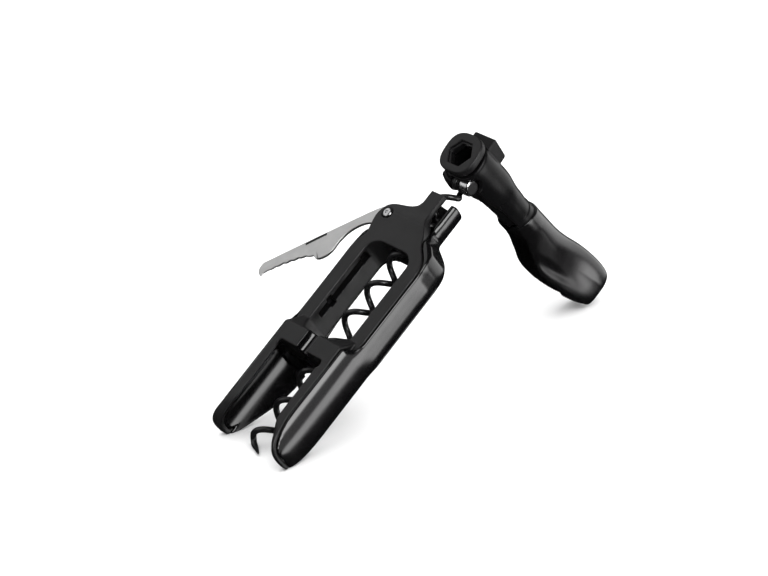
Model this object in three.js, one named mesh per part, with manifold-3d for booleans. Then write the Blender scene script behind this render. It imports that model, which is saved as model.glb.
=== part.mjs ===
// Pocket corkscrew: a two-piece moulded frame with bottle-neck legs, a fold-out
// serrated foil blade, a long wire worm that slides and turns in the frame, and
// a T-handle that folds on a cross pin at the top of the worm.
//
// Millimetres, +Z up. The object lies on a table on the two leg tips and the
// end of the grip. The frame is drawn upright in its own axes (X across, Y from
// front face to back face, Z from leg tips to neck) and the whole assembly is
// then leaned over.

import * as THREE from 'three';
import { mergeVertices } from 'three/addons/utils/BufferGeometryUtils.js';
import Module from 'manifold-3d';

// ---------------------------------------------------------------- dimensions
const LEAN = 35.65;             // angle of the frame's long axis above the table, degrees
const GAP = 0.3;               // running clearance between pieces

// frame, upper part
const Y_FACE = -8.1;           // front face of the upper frame
const Y_BACK = 8.1;            // back face of the upper frame
const Y_WALL = 5.5;            // back edge of the window walls
const X_EDGE = 17.6;           // outer edge of the matte front moulding
const X_OUT = 19.1;            // outer side of the glossy moulding
const WIN_X = 11.4;            // window half width
const WIN_TOP = 91.3;          // window top
const WIN_BOT = 47.3;          // window bottom
const NECK_TOP = 117.6;        // top of the neck
const NECK_R = 7.8;            // outer radius of the neck
const BORE_R = 5.2;            // bore that the worm runs in
const BORE_Y = -0.3;           // worm axis, from the middle plane

// frame, lower part
const Y_RIM = -13.3;           // front plane of the legs and the bridge
const X_RIM = 15.05;           // outer edge of the matte strip on the legs
const BRIDGE_BOT = 38.75;      // underside of the bridge: stop for the bottle lip
const BRIDGE_TOP = 46.3;       // top front edge of the bridge
const SCOOP_R = 15.5;          // inner radius of the legs
const SCOOP_Y = -2.0;          // centre of that radius
const LEG_BACK = 10.3;         // back face of the legs
const SPLIT_Y = -0.3;          // parting plane of the two mouldings in the bridge

// worm
const WIRE_R = 1.0;            // wire radius
const WORM_R = 3.55;           // centre-line radius of the coil
const PITCH = 13.9;            // rise per turn
const WORM_Z0 = 17.79;         // height at which the wire crosses -X
const PIN_Z = 128.04;          // cross pin above the leg tips
const EYE_R = 3.0;             // centre-line radius of the wire eye

// guide bush
const BUSH_R = 5.6;            // outer radius
const BUSH_BORE = 4.9;         // inner radius
const BUSH_FLANGE = 6.3;       // radius of its thrust flange

// blade
const PIVOT_X = -13.2;         // blade rivet
const PIVOT_Z = 102.5;
const SLOT_Y0 = -5.5;          // blade slot, front wall
const SLOT_Y1 = -2.6;          // blade slot, back wall
const BLADE_T = 1.2;           // blade thickness
const BLADE_Y = -4.05;         // middle plane of the blade

// handle (own axes: x across, h from head to grip end, u up), origin on the pin
const HANDLE_TILT = 6.62;      // droop of the handle from square, degrees
const AXIS_U = 7.68;           // handle centre line above the pin
const KNUCKLE_R = 3.4;         // radius of the knuckle and of the thick pin end
const KNUCKLE_X = 7.7;         // half width of knuckle and pin
const PIN_R = 1.7;             // thin part of the pin
const PIN_END = 6.7;           // right end of the pin
const NEST_X = 5.3;            // half width of the worm channel under the handle
const NEST_U = 4.9;            // ceiling of that channel

// ------------------------------------------------------------------ helpers
const wasm = await Module();
wasm.setup();

function solid(geometry) {
  const g = geometry.clone();
  for (const name of Object.keys(g.attributes)) if (name !== 'position') g.deleteAttribute(name);
  const m = mergeVertices(g, 1e-4);
  return new wasm.Manifold(new wasm.Mesh({
    numProp: 3,
    vertProperties: new Float32Array(m.attributes.position.array),
    triVerts: new Uint32Array(m.index.array),
  }));
}
function geometry(manifold) {
  const m = manifold.getMesh();
  const g = new THREE.BufferGeometry();
  g.setAttribute('position', new THREE.BufferAttribute(new Float32Array(m.vertProperties), 3));
  g.setIndex(new THREE.BufferAttribute(new Uint32Array(m.triVerts), 1));
  return g;
}
const shape = (pts) => new THREE.Shape(pts.map(([a, b]) => new THREE.Vector2(a, b)));
function prism(pts, depth) {
  return new THREE.ExtrudeGeometry(shape(pts), { depth, bevelEnabled: false, steps: 1 });
}
// outline in the X-Y plane, extruded from z0 to z1
function alongZ(pts, z0, z1) {
  return solid(prism(pts, z1 - z0).translate(0, 0, z0));
}
// outline given as [X, Z], extruded from y0 to y1
function alongY(pts, y0, y1) {
  return solid(prism(pts, y1 - y0).translate(0, 0, -y1).rotateX(Math.PI / 2));
}
// outline given as [Y, Z], extruded from x0 to x1
const TO_X = new THREE.Matrix4().makeBasis(
  new THREE.Vector3(0, 1, 0), new THREE.Vector3(0, 0, 1), new THREE.Vector3(1, 0, 0));
function alongX(pts, x0, x1) {
  return solid(prism(pts, x1 - x0).translate(0, 0, x0).applyMatrix4(TO_X));
}
function box(x0, x1, y0, y1, z0, z1) {
  return solid(new THREE.BoxGeometry(x1 - x0, y1 - y0, z1 - z0)
    .translate((x0 + x1) / 2, (y0 + y1) / 2, (z0 + z1) / 2));
}
const arc = (cx, cy, r, a0, a1, n) => Array.from({ length: n + 1 }, (_, i) => {
  const a = (a0 + (a1 - a0) * i / n) * Math.PI / 180;
  return [cx + r * Math.cos(a), cy + r * Math.sin(a)];
});
const circle = (cx, cy, r, n = 24) => arc(cx, cy, r, 0, 360 - 360 / n, n - 1);
// turned piece: closed [radius, height] profile about Z
function turned(profile, n = 24) {
  const pts = [...profile, profile[0]].map(([r, z]) => new THREE.Vector2(r, z));
  return new THREE.LatheGeometry(pts, n);
}
const mirrorX = (pts) => pts.map(([a, b]) => [-a, b]).reverse();
// closed body through a row of sections of equal point count
function loft(sections) {
  const n = sections[0].length, pos = [], idx = [];
  for (const s of sections) for (const p of s) pos.push(...p);
  for (let k = 0; k + 1 < sections.length; k++) for (let i = 0; i < n; i++) {
    const a = k * n + i, b = k * n + (i + 1) % n, c = a + n, d = b + n;
    idx.push(a, b, d, a, d, c);
  }
  const cap = (k, flip) => {
    const s = sections[k], c = s.reduce((q, p) => [q[0] + p[0] / n, q[1] + p[1] / n, q[2] + p[2] / n], [0, 0, 0]);
    const ci = pos.length / 3;
    pos.push(...c);
    for (let i = 0; i < n; i++) {
      const a = k * n + i, b = k * n + (i + 1) % n;
      if (flip) idx.push(ci, b, a); else idx.push(ci, a, b);
    }
  };
  cap(0, true);
  cap(sections.length - 1, false);
  const g = new THREE.BufferGeometry();
  g.setAttribute('position', new THREE.BufferAttribute(new Float32Array(pos), 3));
  g.setIndex(idx);
  return g;
}

const MATTE = new THREE.MeshStandardMaterial({ color: 0x1b1b1d, roughness: 0.62, metalness: 0.0 });
const GLOSS = new THREE.MeshStandardMaterial({ color: 0x0b0b0c, roughness: 0.16, metalness: 0.0 });
const COATED = new THREE.MeshStandardMaterial({ color: 0x16161a, roughness: 0.32, metalness: 0.1 });
const STEEL = new THREE.MeshStandardMaterial({ color: 0xc6c8cb, roughness: 0.26, metalness: 1.0 });
const SATIN = new THREE.MeshStandardMaterial({ color: 0xb4b6b8, roughness: 0.38, metalness: 1.0 });
const ACETAL = new THREE.MeshStandardMaterial({ color: 0x242426, roughness: 0.45, metalness: 0.0 });

function mesh(name, source, material) {
  const g = source.isBufferGeometry ? source : geometry(source);
  g.computeVertexNormals();
  const m = new THREE.Mesh(g, material);
  m.name = name;
  return m;
}

// ------------------------------------------------------------ frame outlines
// legs, section in X-Y
const LEG_SECTION = (() => {
  const right = [[15.35, Y_RIM], [16.7, -11.6], [17.9, -8.8], [18.8, -5.0], [19.2, -0.5],
    [19.0, 2.5], [18.1, 4.5], [16.8, 6.2], [15.2, 8.0], [13.5, 9.4], [11.6, LEG_BACK]];
  return [...right, ...mirrorX(right)];
})();
// upper frame, section in X-Y
const UPPER_SECTION = (() => {
  const right = [[17.95, Y_FACE], [18.75, -6.9], [X_OUT, -4.2], [X_OUT, 1.8], [18.5, 4.9],
    [17.0, 7.2], [14.6, Y_BACK]];
  return [...right, ...mirrorX(right)];
})();
// neck, section in X-Y
const NECK_SECTION = [[-NECK_R, -9], [NECK_R, -9], ...arc(0, 0.3, NECK_R, 0, 180, 14)];
// side view of the legs and the body, [Y, Z], along the outer side of a leg ...
const SIDE_REAR = [[3.3, 4.3], [4.3, 6.6], [5.1, 8.9], [5.9, 11.6], [6.8, 14.9], [7.8, 18.9], [8.6, 23.2], [9.3, 28.5],
  [9.9, 35], [LEG_BACK, 42], [9.6, 47.5], [Y_BACK, 52.5]];
const SIDE_OUT = [[Y_RIM, 46.3], [Y_RIM, 9], [-13.2, 6.8], [-12.9, 5.2], [-12.3, 3.8], [-11.5, 2.7], [-10.4, 1.7], [-9.0, 0.9],
  [-7.4, 0.35], [-5.6, 0.05], [-3.8, -0.05], [-1.8, 0.0], [-0.3, 0.1], [1.1, 0.9], [2.2, 2.3], ...SIDE_REAR];
// ... and along its rim beside the hollow
const SIDE_RIM = [[Y_RIM, 46.3], [Y_RIM, 17], [-13.2, 13.5], [-12.7, 11.2], [-11.7, 9.2], [-10.6, 7.8], [-9.6, 6.8], [-8.4, 5.4],
  [-6.9, 4.0], [-5.1, 2.85], [-3.1, 1.8], [-1.5, 1.15], [-0.2, 0.75], [1.2, 1.1], [2.3, 2.4], ...SIDE_REAR];

// outer view of the frame, right side, [X, Z] from the tip up
const OUTER_RIGHT = [[15.6, -0.3], [17.2, 0.0], [18.2, 1.0], [18.8, 3.2], [19.1, 8], [19.3, 26],
  [19.2, 43], [18.9, 58], [18.9, 74], [X_OUT, 85], [18.8, 89.2], [17.7, 91.6], [16, 93.6],
  [13.6, 96.0], [11.6, 98.1], [9.4, 100.6], [8.2, 102.9], [NECK_R, 105.5], [NECK_R, NECK_TOP]];

const windowPoly = (() => {
  const right = [[6.2, WIN_BOT], [7.4, 48.0], [8.9, 49.2], [10.2, 50.5], [11.1, 51.8], [WIN_X, 53.2],
    [WIN_X, 86.4], [11.0, 88.0], [9.6, 89.7], [7.6, 90.9], [5.4, WIN_TOP]];
  return [...right, ...mirrorX(right)];
})();

// solid legs: between the rim and the outer side the side view grows fuller
const legs = (() => {
  const at = (x, side) => side.map(([y, z]) => [x, y, z]);
  const half = solid(loft([at(0, SIDE_RIM), at(11.4, SIDE_RIM), at(16.3, SIDE_OUT), at(22, SIDE_OUT)]));
  return half.add(half.mirror([1, 0, 0])).intersect(alongZ(LEG_SECTION, -2, 50));
})();

// the matte moulding, grown by g on the faces that the glossy moulding wraps
function frontEnvelope(g) {
  const f = g > 0 ? 12 : 0;                       // a cutter runs out through the front
  const rightBeam = [[X_RIM + g, 46.3 - g], [X_EDGE + g, 52.4 - g], [X_EDGE + g, 84.5],
    [17.1 + g, 88.2 + g * 0.5], [15.2 + g, 92.0 + g], [12.6 + g, 94.6 + g], [10.4 + g, 96.8 + g], [0, 96.8 + g]];
  const beams = alongY([[0, 46.3 - g], ...rightBeam.slice(0, 7), ...mirrorX(rightBeam.slice(0, 7))],
    Y_FACE - f, Y_WALL + g);
  // shoulder, neck front, tongue
  const right = [[13.0 + g, 93.4], [9.9 + g, 96.9], [9.3 + g, 99.4], [6.6 + g, 102.9], [5.6 + g, 104.4],
    [3.8 + g, 107.4], [3.4 + g, 110], [3.4 + g, NECK_TOP - 0.5]];
  const shoulder = alongY([[15.9 + g, 90], ...right, ...mirrorX(right), [-15.9 - g, 90]], Y_FACE - f, -2.5 + g);
  // bridge
  const bridge = alongX([[Y_RIM - f, BRIDGE_BOT - g], [SPLIT_Y - 0.15 + g, BRIDGE_BOT - g],
    [SPLIT_Y - 0.15 + g, 53], [Y_FACE - f, 53], [Y_FACE - f, 52], [Y_RIM - f, BRIDGE_TOP]], -X_RIM - g, X_RIM + g);
  return beams.add(shoulder).add(bridge);
}
// strips along the front edge of the legs
function legStrips(g) {
  const inner = [[-11.5, 38], [-11.5, 9], [-11.4, 7.2], [-11.1, 6.0], [-10.6, 5.1], [-9.9, 4.4], [-9.0, 3.9]];
  const f = g > 0 ? 6 : 2;
  const prof = [...inner.map(([y, z]) => [y + g, z]), [-9.0 + g, -f], [Y_RIM - f, -f], [Y_RIM - f, 38]];
  prof[0][1] = prof[prof.length - 1][1] = BRIDGE_BOT + 0.5;
  const one = (s) => {
    const low = g > 0 ? 1.6 : 3.0;
    const xz = [[9, low], [16.4 + g, low], [15.9 + g, 7.0], [15.3 + g, 11], [X_RIM + g, 16], [X_RIM + g, 40], [9, 40]];
    const band = alongX(prof, s > 0 ? 9 : -20, s > 0 ? 20 : -9)
      .intersect(alongY(s > 0 ? xz : mirrorX(xz), -30, 5));
    return g > 0 ? band : band.intersect(legs);
  };
  return [one(1), one(-1)];
}
// blade pocket: open at the left side, with a narrow mouth in the window wall
const SLOT = [[-26, 44.2], [-14.2, 44.2], [-13.4, 46], [-13.0, 55.8], [-9.8, 55.9], [-9.8, 85.7],
  [-12.6, 85.8], [-12.6, 96.6], [-9.0, 97.6], [-8.4, 100], [-8.1, 102.5], [-8.6, 105.4], [-9.6, 108.5], [-12, 113], [-26, 113]];

// ear that carries the blade rivet
const EAR = [[-8.5, 96], [-8.0, 107.2], [-9.9, 106.9], [-12.2, 106.6], [-14.2, 106.0], [-15.9, 104.6],
  [-17.0, 102.6], [-17.4, 100.2], [-17.0, 97.6], [-16.2, 94.5], [-15.4, 90], [-11, 90]].reverse();
// plate between the ear and the tongue
const PLATE = [[-8.7, 99], [-3.0, 99], [-3.0, 112], [-3.4, 111.6], [-4.0, 109.8], [-5.6, 108.4], [-7.5, 107.4], [-8.7, 107.15]];

const scoop = solid(new THREE.CylinderGeometry(SCOOP_R, SCOOP_R, 60, 56).rotateX(Math.PI / 2)
  .translate(0, SCOOP_Y, BRIDGE_BOT - 30));
// between the scoop and the open front and back the way is straight
const throat = box(-10.5, 10.5, -30, 30, -20, BRIDGE_BOT);

// a turned profile drawn about Y is stood up along +Z here
function turnedZ(profile, n, x, y) {
  return turned(profile, n).rotateX(Math.PI / 2).translate(x, y, 0);
}
function turnedAboutY(profile, n, x, z) {
  // profile is [radius, Y]
  return turned(profile, n).translate(x, 0, z);
}
function turnedAboutX(profile, n) {
  // profile is [radius, x]
  return turned(profile, n).rotateZ(-Math.PI / 2);
}

const boreCut = solid(turnedZ([[0, 86], [BORE_R, 86], [BORE_R, 130], [0, 130]], 32, 0, BORE_Y));
const bushCut = solid(turnedZ([[0, 30], [BUSH_R + GAP, 30], [BUSH_R + GAP, 41.2], [BUSH_FLANGE + GAP, 41.2],
  [BUSH_FLANGE + GAP, 44.0], [BUSH_R + GAP, 44.0], [BUSH_R + GAP, 60], [0, 60]], 32, 0, BORE_Y));

const SCREWS = [[15.2, 86.2], [15.2, 56.4], [-15.2, 86.2], [-15.2, 56.4]];
const screwCut = SCREWS.map(([x, z]) => solid(turnedAboutY(
  [[0, -1.9], [1.3, -1.9], [1.3, 6.2], [1.7, 6.2], [1.7, 20], [0, 20]], 14, x, z)));
// behind the matte moulding the window opens out towards the back
const windowFlare = (() => {
  const grown = windowPoly.map(([x, z]) => [x * 1.15, z > 80 ? z + 0.9 : z]);
  return solid(loft([grown.map(([x, z]) => [x, 8.3, z]), grown.map(([x, z]) => [x, 7.4, z]), windowPoly.map(([x, z]) => [x, 5.7, z])]));
})();

// -------------------------------------------------------------- front frame
const frontFrame = (() => {
  let s = frontEnvelope(0);
  s = s.subtract(alongY(windowPoly, -30, 30));
  // sloping shelf between the bridge front and the upper face
  const shelf = alongX([[Y_RIM - 5, BRIDGE_TOP], [Y_RIM, BRIDGE_TOP], [Y_FACE, 52.0], [Y_FACE, 60], [Y_RIM - 5, 60]], -30, 30);
  s = s.subtract(shelf);
  for (const strip of legStrips(0)) s = s.add(strip);
  s = s.subtract(scoop).subtract(throat);
  // notches where the bridge meets the legs
  for (const x of [-10.2, 10.2]) s = s.subtract(alongY(circle(x, 37.2, 1.7, 14), -30, -9));
  // ear
  const ear = alongY(EAR, Y_FACE, 1.0);
  s = s.add(ear).add(alongY(PLATE, Y_FACE, -3.6));
  // open groove in the front of the bridge
  s = s.subtract(alongZ([[-2.7, -20], [2.7, -20], ...arc(0, -12.6, 2.7, 0, -180, 10).map(([x, y]) => [x, -12.6 - (y + 12.6)])], 30, 60));
  // tongue: its front sinks a little and its flanks are bevelled
  s = s.subtract(alongX([[Y_FACE - 5, 105], [Y_FACE, 105], [-6.8, 110.5], [-6.8, 125], [Y_FACE - 5, 125]], -8, 8));
  s = s.subtract(boreCut).subtract(bushCut);
  s = s.subtract(alongY(SLOT, SLOT_Y0, SLOT_Y1));
  // rivet hole with a seat for the head on both sides
  s = s.subtract(solid(turnedAboutY([[0, -12], [2.3, -12], [2.3, -7.4], [1.6, -7.4], [1.6, 0.4], [2.3, 0.4], [2.3, 4], [0, 4]], 18, PIVOT_X, PIVOT_Z)));
  for (const c of screwCut) s = s.subtract(c);
  return s;
})();

// --------------------------------------------------------------- rear shell
const rearShell = (() => {
  const outerXZ = [...OUTER_RIGHT, ...mirrorX(OUTER_RIGHT)];
  const lower = legs;
  const upper = alongZ(UPPER_SECTION, 47, 104).intersect(alongX([[Y_FACE, 48.2], [Y_BACK, 48.2], [Y_BACK, 130], [Y_FACE, 130]], -30, 30));
  const neck = alongZ(NECK_SECTION, 99, NECK_TOP).intersect(box(-30, 30, Y_FACE, Y_BACK, 90, 130));
  const jog = alongX([[Y_RIM, 46.0], [Y_RIM, BRIDGE_TOP], [Y_FACE, 52.0], [Y_BACK, 52.0], [Y_BACK, 46.0]], -30, 30)
    .intersect(alongZ(LEG_SECTION, 40, 60));
  let s = lower.add(jog).add(upper).add(neck).intersect(alongY(outerXZ, -30, 30));
  s = s.subtract(frontEnvelope(GAP));
  for (const strip of legStrips(GAP)) s = s.subtract(strip);
  s = s.subtract(alongY(windowPoly, -30, 30)).subtract(windowFlare);
  s = s.subtract(scoop).subtract(box(-10.8, 10.8, -30, 30, -20, BRIDGE_BOT));
  s = s.subtract(boreCut).subtract(bushCut);
  // front of the neck is open beside the tongue
  s = s.subtract(alongY([[-20, 105.6], [-7.2, 104.4], [-6.2, 103.7], [6.2, 103.7], [7.2, 104.4], [20, 105.6], [20, 130], [-20, 130]], -30, -3.1));
  // blade comes out through the left side
  s = s.subtract(alongY(SLOT.map(([x, z]) => [x === -26 ? -40 : x, z]), SLOT_Y0 - 0.1, SLOT_Y1 + 0.1));
  // room for the ear and the plate
  s = s.subtract(alongY(PLATE.map(([x, z]) => [x, z + GAP]), Y_FACE - 10, -3.6 + GAP));
  s = s.subtract(alongY(EAR.map(([x, z]) => [x + (x < -12 ? -GAP - 0.6 : 0.2), z + 0.5]), Y_FACE - 10, 1.0 + GAP));
  for (const c of screwCut) s = s.subtract(c);
  return s;
})();

// --------------------------------------------------------------- guide bush
const guideBush = turnedZ([[BUSH_BORE, 39.1], [BUSH_R, 39.1], [BUSH_R, 41.5], [BUSH_FLANGE, 41.5],
  [BUSH_FLANGE, 43.7], [BUSH_R, 43.7], [BUSH_R, 46.9], [BUSH_BORE, 46.9]], 32, 0, BORE_Y);

// -------------------------------------------------------------------- blade
// drawn swung out as far as it lies on the table
const BLADE = [[-22.3, 102.9], [-30.6, 92.2], [-41.5, 77.8], [-51.7, 64.1], [-51.8, 61.9], [-51.1, 59.8],
  [-48.6, 58.5], [-48.9, 60.2], [-47.6, 62.3], [-46.6, 62.9], [-45.6, 65.0], [-44.4, 65.5], [-43.6, 67.6],
  [-42.2, 67.9], [-41.3, 69.9], [-39.9, 70.3], [-39.0, 72.2], [-37.5, 72.6], [-36.4, 74.3], [-34.9, 74.4],
  [-33.4, 75.5], [-30.9, 74.7], [-28.4, 77.0], [-26.9, 80.1], [-27.4, 85.3], [-25.9, 91.4], [-22.0, 96.0],
  [-17.6, 98.3], ...arc(PIVOT_X, PIVOT_Z, 3.9, -105, 100, 12), [-16.6, 106.0], [-20.0, 105.4]];
const blade = alongY([...BLADE].reverse(), BLADE_Y - BLADE_T / 2, BLADE_Y + BLADE_T / 2)
  .subtract(solid(turnedAboutY([[0, -12], [1.65, -12], [1.65, 4], [0, 4]], 18, PIVOT_X, PIVOT_Z)))
  .subtract(alongY([[-39.9, 78.0], [-39.4, 77.7], [-34.9, 84.9], [-35.4, 85.2]], BLADE_Y - 1, BLADE_Y - BLADE_T / 2 + 0.35));
const bladeRivet = turnedAboutY([[0, -8.75], [0.9, -8.7], [1.6, -8.45], [1.95, -8.0], [1.95, -7.7], [1.3, -7.7], [1.3, 0.7],
  [1.95, 0.7], [1.95, 1.2], [1.2, 1.45], [0, 1.5]], 18, PIVOT_X, PIVOT_Z);
const washer = (y) => turnedAboutY([[1.65, y - 0.17], [3.3, y - 0.17], [3.3, y + 0.17], [1.65, y + 0.17]], 18, PIVOT_X, PIVOT_Z);

// --------------------------------------------------------------------- worm
const wormPath = (() => {
  const pts = [];
  const at = (z) => {
    const t = (z - WORM_Z0) / PITCH * 2 * Math.PI + Math.PI;
    return new THREE.Vector3(WORM_R * Math.cos(t), BORE_Y + WORM_R * Math.sin(t), z);
  };
  // sharpened end, turned slightly inwards
  pts.push(new THREE.Vector3(2.9, -0.75, 0.35), new THREE.Vector3(0.6, -0.1, 1.3), new THREE.Vector3(-1.9, 0.35, 2.4),
    new THREE.Vector3(-3.35, -0.55, 3.95));
  const top = 120.4, n = Math.round((top - 5.0) / PITCH * 16);
  for (let i = 0; i <= n; i++) pts.push(at(5.0 + (top - 5.0) * i / n));
  // bent in to the middle and closed into an eye round the pin
  pts.push(new THREE.Vector3(3.3, -1.35, 121.35), new THREE.Vector3(3.3, 0.2, 122.2), new THREE.Vector3(2.5, 1.5, 123.0),
    new THREE.Vector3(1.2, 2.4, 123.9), new THREE.Vector3(0.25, 2.8, 125.3));
  for (let a = -2; a <= 250; a += 21) {
    const r = a * Math.PI / 180;
    pts.push(new THREE.Vector3(0, BORE_Y + EYE_R * Math.cos(r), PIN_Z + EYE_R * Math.sin(r)));
  }
  return new THREE.CatmullRomCurve3(pts, false, 'centripetal');
})();
const worm = (() => {
  const disc = shape(circle(0, 0, WIRE_R, 8));
  const g = new THREE.ExtrudeGeometry(disc, { steps: 214, bevelEnabled: false, extrudePath: wormPath });
  // the end of the wire is ground to a point
  const p = g.attributes.position, start = wormPath.getPointAt(0), L = wormPath.getLength(), v = new THREE.Vector3();
  const samples = wormPath.getSpacedPoints(214);
  for (let i = 0; i < p.count; i++) {
    v.fromBufferAttribute(p, i);
    if (v.distanceTo(start) > 7) continue;
    let best = 0, bd = 1e9;
    for (let k = 0; k < 14; k++) { const d = v.distanceTo(samples[k]); if (d < bd) { bd = d; best = k; } }
    const s = best * L / 214, f = Math.min(1, 0.22 + 0.78 * s / 6.0);
    v.sub(samples[best]).multiplyScalar(f).add(samples[best]);
    p.setXYZ(i, v.x, v.y, v.z);
  }
  return mergeVertices((() => { g.deleteAttribute('normal'); g.deleteAttribute('uv'); return g; })(), 1e-4);
})();

// ------------------------------------------------------------------- handle
// all in handle axes: X = x, Y = h, Z = u
const ring = (r, h, cu, n = 28, sq = 2.0, kx = 1) => Array.from({ length: n }, (_, i) => {
  const a = i / n * 2 * Math.PI, c = Math.cos(a), s = Math.sin(a);
  const rx = Math.sign(c) * Math.abs(c) ** (2 / sq) * r * kx, ru = Math.sign(s) * Math.abs(s) ** (2 / sq) * r;
  return [-rx, h, cu + ru];
});
const nest = (h0, h1, x = NEST_X, u = NEST_U) => alongY([[-x, -20], [x, -20], [x, u - 2.4], [x - 0.7, u - 1.1], [x - 2.4, u],
  [-x + 2.4, u], [-x + 0.7, u - 1.1], [-x, u - 2.4]], h0, h1);
// the core's centre line sinks a little towards the grip
const coreU = (h) => AXIS_U - 0.7 * Math.min(1, Math.max(0, (h - 20) / 14));
const handleCore = (() => {
  const bodyPts = [[-4.9, 8.0, 2.6], [-3.9, 8.5, 2.4], [6, 8.6, 2.3], [14, 8.5, 2.2], [17, 8.25, 2.15], [20, 7.8, 2.1], [24, 7.4, 2.0], [30, 7.1, 2.0], [34, 6.85, 2.0], [45.0, 6.7, 2.0]];
  let s = solid(loft(bodyPts.map(([h, r, q]) => ring(r, h, coreU(h), 28, q))));
  // groove behind the end cap
  s = s.add(alongY(circle(0, AXIS_U, 6.4, 24), -6.1, -4.0));
  // raised block on the head
  s = s.add(alongX([[-3.3, 12], [-3.3, 19.4], [-2.5, 20.2], [6.0, 18.9], [6.8, 18.0], [7.2, 14.5], [7.2, 12]], -5.5, 5.5));
  // tongue of the core that the grip is pushed on to
  s = s.add(alongY([[-4.2, 6.0], [4.2, 6.0], [4.2, 10.4], [3.2, 11.4], [-3.2, 11.4], [-4.2, 10.4]], 44, 88));
  // saddle over the cross pin
  s = s.add(box(-7.4, 7.4, -3.4, 4.2, 0, 4));
  // worm channel
  s = s.subtract(nest(3.4, 44.0));
  s = s.subtract(alongY([[-NEST_X, -20], [NEST_X, -20], [NEST_X, NEST_U], [-NEST_X, NEST_U]], 43.9, 46));
  // knuckle, left
  const knuckle = solid(turnedAboutX([[0, -KNUCKLE_X], [KNUCKLE_R - 0.9, -KNUCKLE_X], [KNUCKLE_R, -KNUCKLE_X + 2.2], [KNUCKLE_R, -1.7], [0, -1.7]], 24));
  s = s.add(knuckle).add(box(-KNUCKLE_X, -1.7, -3.2, 3.2, 0, 4));
  // bore for the thick end of the pin, right, open downwards
  s = s.subtract(solid(turnedAboutX([[0, -1.7], [KNUCKLE_R + GAP, -1.7], [KNUCKLE_R + GAP, 20], [0, 20]], 24)))
    .subtract(box(1.7, 20, -4.2, 4.2, -20, 0.0));
  // slot for the wire eye
  s = s.subtract(solid(turnedAboutX([[0, -1.75], [4.6, -1.75], [4.6, 1.75], [0, 1.75]], 24)))
    .subtract(box(-1.75, 1.75, -4.6, 4.6, -10, 0));
  // pin hole in the knuckle
  s = s.subtract(solid(turnedAboutX([[0, -20], [PIN_R + GAP, -20], [PIN_R + GAP, 5], [0, 5]], 20)));
  // socket for the end cap
  s = s.subtract(alongY(circle(0, AXIS_U, 2.6, 16), -12, 3.0));
  return s;
})();
const endCap = (() => {
  const outline = (r) => {
    const p = [];
    for (let i = 0; i < 32; i++) {
      const a = i / 32 * 2 * Math.PI, c = Math.cos(a), s = Math.sin(a), q = 2 / 2.7;
      p.push([Math.sign(c) * Math.abs(c) ** q * r, AXIS_U + Math.sign(s) * Math.abs(s) ** q * r]);
    }
    return p;
  };
  let s = solid(loft([[-9.7, 7.6], [-9.0, 8.2], [-7.1, 8.2], [-6.4, 7.6]].map(([h, r]) => outline(r).map(([x, u]) => [-x, h, u + 0.7]))));
  s = s.add(alongY(circle(0, AXIS_U, 2.3, 16), -6.5, 2.6));
  s = s.subtract(alongY(arc(0, 8.1, 5.1, 0, 300, 5), -20, -7.3));
  return s;
})();
const pivotPin = turnedAboutX([[0, -7.2], [PIN_R - 0.3, -7.2], [PIN_R, -6.9], [PIN_R, 1.8], [KNUCKLE_R, 1.8],
  [KNUCKLE_R, PIN_END - 0.8], [KNUCKLE_R - 0.8, PIN_END], [0, PIN_END]], 24);

// grip: [h, top u, bottom u, half width, squareness above, squareness below]
const GRIP = [[35.6, 14.4, -0.4, 7.4, 2.1, 2.1], [37.0, 14.7, -0.7, 7.7, 2.1, 2.1], [46, 14.6, -1.2, 7.6, 2.1, 2.4],
  [52, 14.5, -1.9, 7.4, 2.2, 3.6], [60, 14.4, -3.3, 7.1, 2.4, 5.5], [68, 15.1, -3.9, 6.9, 2.6, 6], [78, 16.7, -3.4, 6.8, 2.7, 6],
  [88, 17.4, -2.1, 6.8, 2.8, 6], [95, 17.3, -0.8, 6.7, 2.8, 6], [99.6, 17.0, 0.1, 6.4, 2.7, 5.5], [101.6, 16.3, 0.5, 5.9, 2.6, 5],
  [103.0, 15.0, 0.9, 5.2, 2.5, 4.5]];
const grip = (() => {
  const sec = GRIP.map(([h, top, bot, w, q, low]) => Array.from({ length: 32 }, (_, i) => {
    const a = i / 32 * 2 * Math.PI, c = Math.cos(a), s = Math.sin(a);
    const cu = (top + bot) / 2, ru = (top - bot) / 2, e = 2 / (s < 0 ? low : q);
    return [-Math.sign(c) * Math.abs(c) ** e * w, h, cu + Math.sign(s) * Math.abs(s) ** e * ru];
  }));
  let s = solid(loft(sec));
  // the end is cut nearly square
  s = s.subtract(alongX([[102.5, -20], [102.5, 0.5], [101.1, 14], [100.5, 30], [120, 30], [120, -20]], -20, 20));
  // socket: round over the core, flat for its tongue
  s = s.subtract(solid(loft([[30, 7.4], [34, 7.15], [45.3, 7.0]].map(([h, r]) => ring(r, h, coreU(h), 28, 2)))));
  s = s.subtract(alongY([[-4.5, 5.7], [4.5, 5.7], [4.5, 10.6], [3.4, 11.7], [-3.4, 11.7], [-4.5, 10.6]], 44, 88.3));
  s = s.subtract(nest(30, 95, NEST_X, NEST_U));
  // slanted mouth
  s = s.subtract(alongX([[30, -20], [30, 30], [40.0, 30], [40.0, 14.8], [38.8, 12], [37.2, 8.5], [36.3, 4.6], [36.0, 1], [35.4, -2], [35.4, -20]], -20, 20));
  return s;
})();
const eyeWasher = (x) => turnedAboutX([[PIN_R + 0.25, x - 0.16], [3.2, x - 0.16], [3.2, x + 0.16], [PIN_R + 0.25, x + 0.16]], 20);

// ----------------------------------------------------------------- assembly
const frame = new THREE.Group();
frame.rotation.x = -(90 - LEAN) * Math.PI / 180;

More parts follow.
